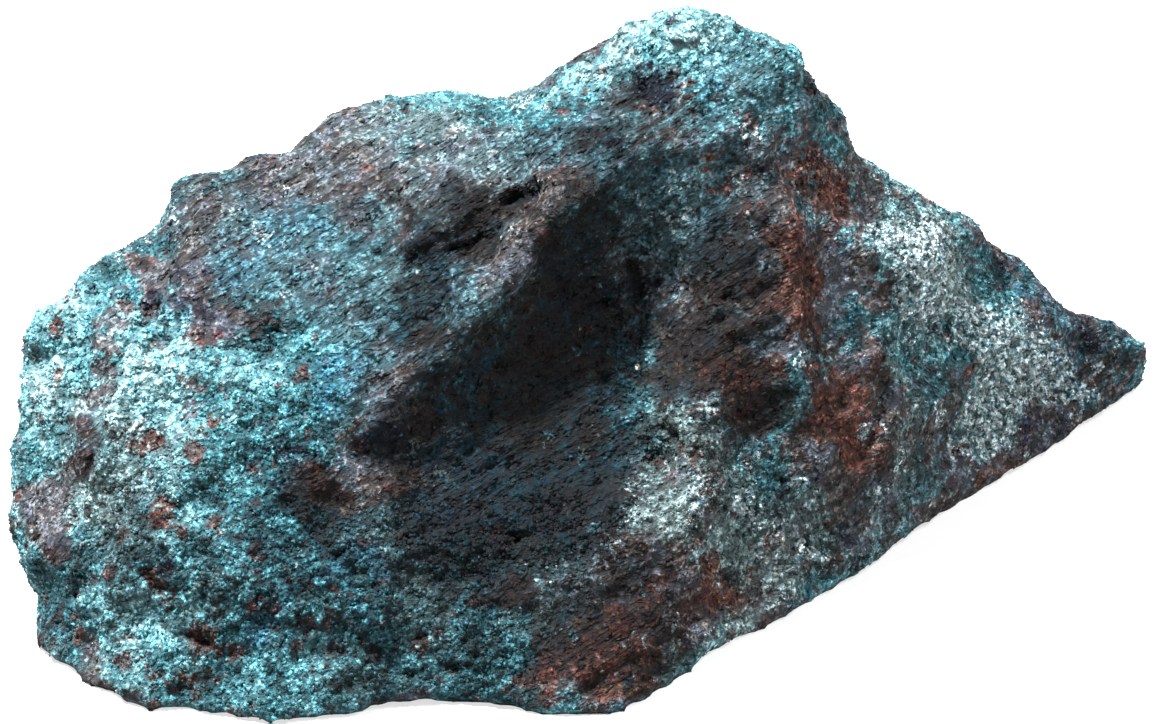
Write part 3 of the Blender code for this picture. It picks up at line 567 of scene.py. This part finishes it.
height, pitDepth = raiseRelief(points / mm, tree)
foot = relief["foot"]
lift = eased(points[:, 2] / mm, 0.0, foot["reliefFrom"])
moved = points + normals * (height * lift * mm)[:, None]
footShare = np.clip(1 - points[:, 2] / mm / foot["height"], 0, 1) ** 2
sideways = normals * np.array([1, 1, 0])
moved -= sideways * (foot["inset"] * mm * footShare)[:, None]
flat = relief["sole"]
sole = (points[:, 2] < flat["below"] * mm) & (normals[:, 2] < flat["facing"])
soleHeight = np.zeros(len(points))
for layer in (flat, relief["fineSole"]):
    soleHeight += layer["height"] * cloud(points / mm, layer["size"], layer["seed"])
moved[sole, 2] = np.maximum(0, soleHeight[sole]) * mm
moved[:, 2] = np.maximum(moved[:, 2], 0)
stone.data.vertices.foreach_set("co", moved.astype(np.float32).ravel())
stone.data.update()
stone.data.shade_smooth()
print("scene: relief raised")


def writeAttributes(mesh, values, picked=slice(None)):
    for name, value in values.items():
        attribute = mesh.attributes.new(name, "FLOAT", "POINT")
        attribute.data.foreach_set("value", value[picked].astype(np.float32))


stoneValues = {kind + "Field": field for kind, field in fields.items()}
stoneValues.update(pitDepth=pitDepth, reliefHeight=height)
writeAttributes(stone.data, stoneValues)

# grains and flakes that stand out of the crust, as joined meshes

grainCover = {
    "pieces": 2, "perPiece": 24800, "seed": 21,
    "size": (0.17, 0.40), "paleSize": 1.4,       # half widths
    "flakeLength": (0.3, 0.65), "flakeWidth": (0.13, 0.24), "flakeHeight": (0.08, 0.18),
    "sink": 0.30, "lowest": 0.5, "roughness": 0.02,
    "crustEdge": (-0.1, 0.4), "paleEdge": (0.1, 0.5),
    "onRock": 0.3, "onCrust": 0.7, "moreOnPale": 0.6, "lessOnFilm": 0.8,   # how crowded they are
    "grainsOnRock": 0.1,                         # the share there that are grains and not flakes
    "flakeTurn": 0.35, "flakeTilt": 0.1, "tones": (-0.6, 1.0),
}
stoneTone = -0.25   # the stone itself is darker than most of its grains
writeAttributes(stone.data, {"grainTone": np.full(len(points), stoneTone)})


def crustCover():
    return eased(np.maximum(fields["crust"], fields["pale"]), *grainCover["crustEdge"])


# random triangles of the stone, more of them where there is crust, and a point on each
def grainPlaces(mesh, random, count):
    mesh.calc_loop_triangles()
    corners = np.empty(len(mesh.loop_triangles) * 3, np.int32)
    mesh.loop_triangles.foreach_get("vertices", corners)
    corners = corners.reshape(-1, 3)
    points, normals = vertexArrays(mesh)
    first, second, third = (points[corners[:, i]] for i in range(3))
    area = np.linalg.norm(np.cross(second - first, third - first), axis=1)
    middle = (first + second + third) / 3
    crusty = crustCover() * (1 - grainCover["lessOnFilm"] * coverOf("film"))
    pale = eased(fields["pale"], *grainCover["paleEdge"])
    crowding = grainCover["onRock"] + grainCover["onCrust"] * crusty + grainCover["moreOnPale"] * pale
    weight = area * crowding[corners[:, 0]]
    weight[middle[:, 2] < grainCover["lowest"] * mm] = 0
    chosen = random.choice(len(corners), size=count, p=weight / weight.sum())
    shares = random.dirichlet((1, 1, 1), size=count)
    place = (points[corners[chosen]] * shares[:, :, None]).sum(axis=1)
    normal = normals[corners[chosen, 0]]
    return place, normal / np.linalg.norm(normal, axis=1)[:, None], corners[chosen, 0]


def makeGrains(name, seed):
    random = np.random.default_rng(seed)
    count = grainCover["perPiece"]
    place, normal, near = grainPlaces(stone.data, random, count)
    crusty = crustCover() * (1 - coverOf("film"))
    flake = random.random(count) > risingTo1(grainCover["grainsOnRock"], crusty[near])
    along = np.array(streakAlong) + grainCover["flakeTurn"] * random.normal(size=(count, 3))
    along[~flake] = random.normal(size=(count - flake.sum(), 3))
    tilted = normal + grainCover["flakeTilt"] * random.normal(size=(count, 3))
    tilted[~flake] = random.normal(size=(count - flake.sum(), 3))
    tilted /= np.linalg.norm(tilted, axis=1)[:, None]
    along -= tilted * (along * tilted).sum(axis=1)[:, None]
    along /= np.linalg.norm(along, axis=1)[:, None]
    over = np.cross(tilted, along)
    low, high = grainCover["size"]
    half = low + (high - low) * random.random((count, 1)) ** 2 * random.uniform(0.6, 1.0, (count, 3))
    half *= 1 + (grainCover["paleSize"] - 1) * coverOf("pale")[near, None]
    for column, key in enumerate(("flakeLength", "flakeWidth", "flakeHeight")):
        half[flake, column] = random.uniform(*grainCover[key], flake.sum())
    middle = place - normal * (half.min(axis=1) * grainCover["sink"] * mm)[:, None]
    arms = [axis * half[:, [column]] * mm for column, axis in enumerate((along, over, tilted))]
    corners = np.stack([middle + side * arm for arm in arms for side in (1, -1)], axis=1)
    corners += random.normal(size=corners.shape) * grainCover["roughness"] * mm
    corners[:, :, 2] = np.maximum(corners[:, :, 2], 0)
    faces = [(0, 2, 4), (2, 1, 4), (1, 3, 4), (3, 0, 4), (2, 0, 5), (1, 2, 5), (3, 1, 5), (0, 3, 5)]
    allFaces = (np.array(faces)[None] + 6 * np.arange(count)[:, None, None]).reshape(-1)
    mesh = bpy.data.meshes.new(name)
    mesh.vertices.add(count * 6)
    mesh.vertices.foreach_set("co", corners.astype(np.float32).ravel())
    mesh.loops.add(len(allFaces))
    mesh.loops.foreach_set("vertex_index", allFaces.astype(np.int32))
    mesh.polygons.add(count * 8)
    mesh.polygons.foreach_set("loop_start", np.arange(0, len(allFaces), 3, dtype=np.int32))
    mesh.update(calc_edges=True)
    mesh.validate()
    writeAttributes(mesh, stoneValues, np.repeat(near, 6))
    writeAttributes(mesh, {"grainTone": np.repeat(random.uniform(*grainCover["tones"], count), 6)})
    piece = bpy.data.objects.new(name, mesh)
    bpy.context.scene.collection.objects.link(piece)
    return piece


grains = []
for number in range(grainCover["pieces"]):
    grains.append(makeGrains(f"grainCover{number + 1}", grainCover["seed"] + number))
print("scene: grains set")

# material

stoneColours = {
    "taupe": (0.170, 0.150, 0.148), "darkBrown": (0.046, 0.034, 0.031),
    "lilacGrey": (0.125, 0.158, 0.210), "paleRock": (0.235, 0.245, 0.265),
    # near-black is painted shade for gaps, pits and cracks; the brown and teal stain colours darken
    # places of dark stain and of painted shade alike
    "nearBlack": (0.008, 0.008, 0.009), "brownStainShade": (0.130, 0.105, 0.095),
    "tealStainShade": (0.060, 0.140, 0.170),
    "deepTeal": (0.016, 0.080, 0.105), "teal": (0.060, 0.245, 0.290), "cyan": (0.210, 0.560, 0.640),
    "palestCyan": (0.500, 0.840, 0.880), "skyBlue": (0.060, 0.270, 0.420),
    "filmTeal": (0.085, 0.215, 0.265),
    "rust": (0.235, 0.078, 0.052), "darkRust": (0.085, 0.032, 0.022),
    "orangeRust": (0.200, 0.088, 0.046), "spotRust": (0.120, 0.045, 0.034),
    "darkTeal": (0.012, 0.036, 0.044),
    "navy": (0.014, 0.022, 0.070), "blackBlue": (0.006, 0.009, 0.018),
    # white is laid on as painted highlights on grain tips and as painted glints
    "pale": (0.700, 0.840, 0.870), "greyGreen": (0.110, 0.250, 0.290), "highlightWhite": (0.90, 0.92, 0.90),
}

# the level of its field where a mineral's edge lies, and how ragged and soft that edge is
masks = {
    # the first mask is for stain and painted shade
    "stainAndShade": {"Level": 0.45, "Softness": 0.5, "Raggedness": 0.9},
    "grey": {"Level": 0.35, "Softness": 0.5, "Raggedness": 0.8},
    "blue": {"Level": 0.55, "Softness": 0.35, "Raggedness": 0.4},
    "rust": {"Level": 0.40, "Softness": 0.25, "Raggedness": 1.5},
    "navy": {"Level": 0.42, "Softness": 0.3, "Raggedness": 1.4},
    "pale": {"Level": 0.36, "Softness": 0.16, "Raggedness": 1.9, "Grain_Size_mm": 0.8},
}
# how much of each colour its mask lays on
# the first share is for stain and painted shade
cover = {"stainAndShade": 0.8, "blue": 0.75, "rust": 0.88, "navy": 0.85, "pale": 0.9, "film": 0.5}
strewn = {
    "spots": {"Spacing_mm": 3.0, "Radius": 0.34, "Share": 0.60, "Raggedness": 0.6},
    "dots": {"Spacing_mm": 1.5, "Radius": 0.36, "Share": 0.42},
    # the specks are painted white glints
    "glintSpecks": {"Spacing_mm": 3.4, "Radius": 0.07, "Share": 0.45, "Raggedness": 0.12},
}
# the two ends of each change: values of the noise or field, then the shares or the roughness there
ramps = {
    "streakedRock": (0.38, 0.62), "lilac": (0.46, 0.62, 0.0, 0.75), "unstained": (-0.15, -0.9, 0.0, 0.75),
    "film": (0.0, 0.7), "teal": (-0.7, 0.05), "cyan": (-0.2, 0.65), "palest": (0.45, 1.3),
    "rustySpots": (0.43, 0.54), "rust": (0.35, 0.62), "orange": (0.52, 0.66), "navy": (0.4, 0.6),
    # on the next line: where the stain-and-shade colour turns teal, and how low relief is darkened as
    # painted shade
    "pale": (0.40, 0.54), "tealStainShade": (0.43, 0.57), "hollowShade": (-0.05, -0.75, 0.0, 0.8),
    "lightGrains": (0.0, 1.0, 0.0, 0.5), "darkGrains": (0.0, -1.0, 0.0, 0.75),
    "roughness": (0.3, 0.7, 0.92, 0.55),
}
# values on the crust and on the film
filmEnds = {
    "layering": (1.0, 3.6), "softness": (0.2, 0.75), "raggedness": (1.3, 0.5), "crust": (1.0, 0.85),
    "spots": (0.84, 0.35), "coarseBump": (0.95, 0.4), "streakBump": (0.3, 1.0),
}
# scales of the noises are per metre, grains and bumps are in millimetres
finish = {
    "streakStretch": (5.0, 0.55, 0.8), "streakScale": 1100.0,
    "blotchScale": 260.0, "speckleScale": 1900.0,
    "coarseGrain": 0.85, "fineGrain": 0.36,
    "greyed": {"Hue": 0.475, "Saturation": 0.42, "Value": 0.80},
    "lightGrain": 1.9, "darkGrain": 0.3,                  # how far a grain's own tone can go
    # the first two are the painted white highlight on the grain tops, out of and in the painted shade;
    # the gap values set the painted shade between the grains
    "tipHighlight": 0.22, "shadedTipHighlight": 0.015, "coarseGapShade": 0.9, "fineGapShade": 0.85, "gapShadeDepth": 0.95,
    "speckleTone": 2.0, "blotchTone": 1.2, "dots": 0.8, "gapShade": 0.88, "specular": 0.06,
    "coarseBump": 0.42, "fineBump": 0.20, "fineStrength": 0.9, "streakBump": 0.60,
}


def newNode(tree, kind, **inputs):
    node = tree.nodes.new(kind)
    for name, value in inputs.items():
        node.inputs[name.replace("_", " ")].default_value = value
    return node


def setOrLink(tree, socket, value):
    if isinstance(value, (int, float)):
        socket.default_value = value
    elif isinstance(value, tuple):
        socket.default_value = (*value, 1.0)
    else:
        tree.links.new(value, socket)


def mathNode(tree, operation, first, second):
    node = tree.nodes.new("ShaderNodeMath")
    node.operation = operation
    setOrLink(tree, node.inputs[0], first)
    setOrLink(tree, node.inputs[1], second)
    return node.outputs[0]


def times(tree, first, second):
    return mathNode(tree, "MULTIPLY", first, second)


def plus(tree, first, second):
    return mathNode(tree, "ADD", first, second)


# a noise about nought, made this much stronger
def swing(tree, value, strength):
    return times(tree, mathNode(tree, "SUBTRACT", value, 0.5), strength)


def mapRange(tree, value, low, high, toLow=0.0, toHigh=1.0):
    node = tree.nodes.new("ShaderNodeMapRange")
    node.interpolation_type = "SMOOTHSTEP"
    names = ("Value", "From Min", "From Max", "To Min", "To Max")
    for name, setting in zip(names, (value, low, high, toLow, toHigh)):
        setOrLink(tree, node.inputs[name], setting)
    return node.outputs["Result"]


def mixColour(tree, share, first, second, blend="MIX"):
    node = tree.nodes.new("ShaderNodeMix")
    node.data_type = "RGBA"
    node.blend_type = blend
    for number, value in ((0, share), (6, first), (7, second)):
        setOrLink(tree, node.inputs[number], value)
    return node.outputs[2]


def multiplied(tree, colour, factor):
    return mixColour(tree, 1.0, colour, (factor, factor, factor), "MULTIPLY")


def noiseNode(tree, place, scale, detail=2.0, roughness=0.5):
    node = newNode(tree, "ShaderNodeTexNoise", Detail=detail, Roughness=roughness)
    tree.links.new(place, node.inputs["Vector"])
    setOrLink(tree, node.inputs["Scale"], scale)
    return node.outputs["Fac"]


def cellNode(tree, place, scale):
    node = newNode(tree, "ShaderNodeTexVoronoi", Randomness=1.0)
    tree.links.new(place, node.inputs["Vector"])
    tree.links.new(scale, node.inputs["Scale"])
    return node


def newGroup(name, inputs, outputs):
    group = bpy.data.node_groups.new(name, "ShaderNodeTree")
    group.interface.new_socket("Place", in_out="INPUT", socket_type="NodeSocketVector")
    for socketName, value in inputs:
        socket = group.interface.new_socket(socketName, in_out="INPUT", socket_type="NodeSocketFloat")
        socket.default_value = value
    for socketName in outputs:
        group.interface.new_socket(socketName, in_out="OUTPUT", socket_type="NodeSocketFloat")
    return group, group.nodes.new("NodeGroupInput").outputs, group.nodes.new("NodeGroupOutput").inputs


# where a mineral shows: its field with a ragged, granular edge
def frayedMaskGroup():
    group, given, out = newGroup(
        "frayedMask",
        [("Field", 0.0), ("Level", 0.3), ("Softness", 0.1), ("Grain Size mm", 0.6), ("Raggedness", 0.5)],
        ["Mask"])
    scale = mathNode(group, "DIVIDE", 1000.0, given["Grain Size mm"])
    grain = noiseNode(group, given["Place"], scale, detail=3.0, roughness=0.65)
    value = plus(group, given["Field"], times(group, swing(group, grain, given["Raggedness"]), 2.0))
    low = mathNode(group, "SUBTRACT", given["Level"], given["Softness"])
    high = plus(group, given["Level"], given["Softness"])
    group.links.new(mapRange(group, value, low, high), out["Mask"])
    return group


# fine granular relief: the height for the bump, the tops for a painted highlight, the low parts between
# the grains for painted shade
def grainGroup():
    group, given, out = newGroup("mineralGrain", [("Size mm", 0.6)], ["Height", "TipHighlight", "ShadedGap"])
    scale = mathNode(group, "DIVIDE", 1000.0, given["Size mm"])
    soft = noiseNode(group, given["Place"], scale, detail=3.0, roughness=0.6)
    cell = cellNode(group, given["Place"], scale)
    dome = mathNode(group, "SUBTRACT", 1.0, cell.outputs["Distance"])
    height = plus(group, times(group, dome, 0.45), times(group, soft, 1.1))
    group.links.new(height, out["Height"])
    group.links.new(mapRange(group, height, 0.92, 1.12), out["TipHighlight"])
    group.links.new(mapRange(group, height, 0.86, 0.68), out["ShadedGap"])
    return group


# ragged spots, each in a cell of its own; Share is how many of the cells have one
def spotGroup():
    group, given, out = newGroup(
        "strewnSpots",
        [("Spacing mm", 3.0), ("Radius", 0.3), ("Share", 0.5), ("Raggedness", 0.9)],
        ["Mask"])
    scale = mathNode(group, "DIVIDE", 1000.0, given["Spacing mm"])
    cell = cellNode(group, given["Place"], scale)
    drawn = group.nodes.new("ShaderNodeSeparateColor")
    group.links.new(cell.outputs["Color"], drawn.inputs["Color"])
    taken = mathNode(group, "LESS_THAN", drawn.outputs["Red"], given["Share"])
    size = times(group, given["Radius"], mapRange(group, drawn.outputs["Green"], 0.0, 1.0, 0.5, 1.3))
    ragged = noiseNode(group, given["Place"], 1500.0, detail=3.0, roughness=0.65)
    away = plus(group, cell.outputs["Distance"], swing(group, ragged, given["Raggedness"]))
    inside = mapRange(group, away, size, times(group, size, 0.6))
    group.links.new(times(group, inside, taken), out["Mask"])
    return group


def placeGroup(tree, group, place, **inputs):
    node = tree.nodes.new("ShaderNodeGroup")
    node.node_tree = group
    tree.links.new(place, node.inputs["Place"])
    for name, value in inputs.items():
        setOrLink(tree, node.inputs[name.replace("_", " ")], value)
    return node.outputs


def stoneMaterial():
    material = bpy.data.materials.new("mineralCrust")
    material.use_nodes = True
    tree = material.node_tree
    shader = tree.nodes["Principled BSDF"]
    colours = stoneColours
    place = newNode(tree, "ShaderNodeTexCoord").outputs["Object"]
    field = {}
    for name in list(stoneValues) + ["grainTone"]:
        attribute = tree.nodes.new("ShaderNodeAttribute")
        attribute.attribute_name = name
        field[name.removesuffix("Field")] = attribute.outputs["Fac"]

    def ramp(value, name):
        return mapRange(tree, value, *ramps[name])

    fray = frayedMaskGroup()
    spots = spotGroup()
    grain = grainGroup()
    coarse = placeGroup(tree, grain, place, Size_mm=finish["coarseGrain"])
    fine = placeGroup(tree, grain, place, Size_mm=finish["fineGrain"])
    shows = {}
    for kind, edge in masks.items():
        shows[kind] = placeGroup(tree, fray, place, Field=field[kind], **edge)["Mask"]
    lies = {}
    for kind, spread in strewn.items():
        lies[kind] = placeGroup(tree, spots, place, **spread)["Mask"]

    # streaks follow the layers of the rock
    turned = tree.nodes.new("ShaderNodeMapping")
    turned.vector_type = "TEXTURE"
    layers = Matrix([streakAlong, streakOver, streakUp]).transposed()
    turned.inputs["Rotation"].default_value = layers.to_euler()
    turned.inputs["Scale"].default_value = finish["streakStretch"]
    tree.links.new(place, turned.inputs["Vector"])
    turnedPlace = turned.outputs["Vector"]
    streaks = noiseNode(tree, turnedPlace, finish["streakScale"], detail=4.0, roughness=0.62)
    blotches = noiseNode(tree, place, finish["blotchScale"], detail=4.0, roughness=0.6)
    speckle = noiseNode(tree, place, finish["speckleScale"], detail=2.0, roughness=0.7)

    # rock
    colour = mixColour(tree, ramp(streaks, "streakedRock"), colours["darkBrown"], colours["taupe"])
    lilac = ramp(blotches, "lilac")
    colour = mixColour(tree, lilac, colour, colours["lilacGrey"])
    # the stain mask lays dark brown on the rock: a dark stain in places, painted shade in the shaded
    # hollow
    colour = mixColour(tree, times(tree, shows["stainAndShade"], cover["stainAndShade"]), colour, colours["darkBrown"])
    unstained = ramp(field["stainAndShade"], "unstained")
    colour = mixColour(tree, unstained, colour, colours["paleRock"])

    # turquoise crust, from deep teal to the palest cyan, then greyed, blue, or thinned to a film
    film = ramp(field["film"], "film")

    def byFilm(name):
        return mapRange(tree, film, 0.0, 1.0, *filmEnds[name])

    tone = plus(tree, field["bright"], swing(tree, speckle, finish["speckleTone"]))
    tone = plus(tree, tone, swing(tree, blotches, finish["blotchTone"]))
    crust = mixColour(tree, ramp(tone, "teal"), colours["deepTeal"], colours["teal"])
    crust = mixColour(tree, ramp(tone, "cyan"), crust, colours["cyan"])
    crust = mixColour(tree, ramp(tone, "palest"), crust, colours["palestCyan"])
    greyed = newNode(tree, "ShaderNodeHueSaturation", **finish["greyed"])
    tree.links.new(crust, greyed.inputs["Color"])
    crust = mixColour(tree, shows["grey"], crust, greyed.outputs["Color"])
    crust = mixColour(tree, times(tree, shows["blue"], cover["blue"]), crust, colours["skyBlue"])
    crust = mixColour(tree, times(tree, film, cover["film"]), crust, colours["filmTeal"])
    layered = swing(tree, streaks, byFilm("layering"))
    crustMask = placeGroup(tree, fray, place, Field=plus(tree, field["crust"], layered), Level=0.0,
                           Softness=byFilm("softness"), Raggedness=byFilm("raggedness"))
    crustShare = times(tree, crustMask["Mask"], byFilm("crust"))
    colour = mixColour(tree, crustShare, colour, crust)

    # dark spots strewn over the crust
    spotShare = mathNode(tree, "MAXIMUM", lies["spots"], times(tree, lies["dots"], finish["dots"]))
    spotShare = times(tree, spotShare, byFilm("spots"))
    rusty = ramp(blotches, "rustySpots")
    spotColour = mixColour(tree, rusty, colours["darkTeal"], colours["spotRust"])
    colour = mixColour(tree, spotShare, colour, spotColour)

    # rust, dark blue and the pale granules
    rust = mixColour(tree, ramp(speckle, "rust"), colours["darkRust"], colours["rust"])
    rust = mixColour(tree, ramp(blotches, "orange"), rust, colours["orangeRust"])
    navy = mixColour(tree, ramp(speckle, "navy"), colours["blackBlue"], colours["navy"])
    pale = mixColour(tree, ramp(speckle, "pale"), colours["greyGreen"], colours["pale"])
    for kind, mineral in (("rust", rust), ("navy", navy), ("pale", pale)):
        colour = mixColour(tree, times(tree, shows[kind], cover[kind]), colour, mineral)

    # the stain and painted shade dim everything, and a few painted white glints stay clear of it
    stainShadeColour = mixColour(tree, ramp(blotches, "tealStainShade"), colours["brownStainShade"], colours["tealStainShade"])
    stainedShaded = mixColour(tree, 1.0, colour, stainShadeColour, "MULTIPLY")
    colour = mixColour(tree, shows["stainAndShade"], colour, stainedShaded)
    colour = mixColour(tree, lies["glintSpecks"], colour, colours["highlightWhite"])

    # grains: painted highlights on their tips, each grain's own tone, and painted shade in the gaps
    # between them, in low places, pits and cracks
    tipHighlightShare = mapRange(tree, shows["stainAndShade"], 0.0, 1.0, finish["tipHighlight"], finish["shadedTipHighlight"])
    colour = mixColour(tree, times(tree, fine["TipHighlight"], tipHighlightShare), colour, colours["highlightWhite"])
    lighter = mixColour(tree, ramp(field["grainTone"], "lightGrains"), colour,
                        multiplied(tree, colour, finish["lightGrain"]))
    colour = mixColour(tree, ramp(field["grainTone"], "darkGrains"), lighter,
                       multiplied(tree, colour, finish["darkGrain"]))
    # painted shade: gaps between grains, low relief, pits and cracks are darkened towards near-black
    gapShadeMask = mathNode(tree, "MAXIMUM", times(tree, coarse["ShadedGap"], finish["coarseGapShade"]),
                    times(tree, fine["ShadedGap"], finish["fineGapShade"]))
    hollowShade = ramp(field["reliefHeight"], "hollowShade")
    shade = mathNode(tree, "MAXIMUM", gapShadeMask, mathNode(tree, "MAXIMUM", hollowShade, field["pitDepth"]))
    colour = mixColour(tree, times(tree, shade, finish["gapShadeDepth"]), colour,
                       mixColour(tree, finish["gapShade"], colour, colours["nearBlack"]))
    tree.links.new(colour, shader.inputs["Base Color"])
    tree.links.new(ramp(speckle, "roughness"), shader.inputs["Roughness"])
    shader.inputs["Specular IOR Level"].default_value = finish["specular"]

    # bumps, one over the other: granules, fine grain, streaks; the film is smoother and more streaked
    normal = None
    for height, distance, strength in (
            (coarse["Height"], finish["coarseBump"], byFilm("coarseBump")),
            (fine["Height"], finish["fineBump"], finish["fineStrength"]),
            (streaks, finish["streakBump"], byFilm("streakBump"))):
        bump = newNode(tree, "ShaderNodeBump", Distance=distance * mm)
        setOrLink(tree, bump.inputs["Strength"], strength)
        tree.links.new(height, bump.inputs["Height"])
        if normal is not None:
            tree.links.new(normal, bump.inputs["Normal"])
        normal = bump.outputs["Normal"]
    tree.links.new(normal, shader.inputs["Normal"])
    return material


mineralCrust = stoneMaterial()
for piece in [stone] + grains:
    piece.data.materials.clear()
    piece.data.materials.append(mineralCrust)
    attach(piece, "root")
    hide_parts("stone")
print("scene: material")

# floor and light

studio = {
    "floorSize": 3.0, "floorColour": (0.30, 0.30, 0.30),
    "floorRoughness": 0.9, "floorGlow": 0.68,               # a lit table, as for a cut-out photo
    "worldColour": (0.96, 0.98, 1.0), "worldStrength": 0.16,
    "keyFrom": (-0.38, 0.09, 0.92), "keySize": 0.10, "keyPower": 24.0,
    "fillFrom": (0.62, 0.05, 0.78), "fillSize": 0.16, "fillPower": 5.2,
    "distance": 0.7, "aimHeight": 0.015,
}


def makeFloor():
    half = studio["floorSize"] / 2
    mesh = bpy.data.meshes.new("floor")
    corners = [(-half, -half, 0), (half, -half, 0), (half, half, 0), (-half, half, 0)]
    mesh.from_pydata(corners, [], [(0, 1, 2, 3)])
    material = bpy.data.materials.new("paleFloor")
    material.use_nodes = True
    shader = material.node_tree.nodes["Principled BSDF"]
    shader.inputs["Base Color"].default_value = (*studio["floorColour"], 1)
    shader.inputs["Roughness"].default_value = studio["floorRoughness"]
    shader.inputs["Emission Color"].default_value = (1, 1, 1, 1)
    shader.inputs["Emission Strength"].default_value = studio["floorGlow"]
    mesh.materials.append(material)
    floor = bpy.data.objects.new("floor", mesh)
    bpy.context.scene.collection.objects.link(floor)


def softLight(name, direction, size, power):
    light = bpy.data.lights.new(name, "AREA")
    light.shape = "DISK"
    light.size = size
    light.energy = power
    lightObject = bpy.data.objects.new(name, light)
    away = Vector(direction).normalized()
    lightObject.location = Vector((0, 0, studio["aimHeight"])) + away * studio["distance"]
    lightObject.rotation_euler = away.to_track_quat("Z", "Y").to_euler()
    bpy.context.scene.collection.objects.link(lightObject)


makeFloor()
softLight("key", studio["keyFrom"], studio["keySize"], studio["keyPower"])
softLight("fill", studio["fillFrom"], studio["fillSize"], studio["fillPower"])
world = bpy.data.worlds.new("studio")
world.use_nodes = True
background = world.node_tree.nodes["Background"]
background.inputs["Color"].default_value = (*studio["worldColour"], 1)
background.inputs["Strength"].default_value = studio["worldStrength"]
bpy.context.scene.world = world
bpy.context.scene.view_settings.view_transform = "Standard"
print("scene: studio")
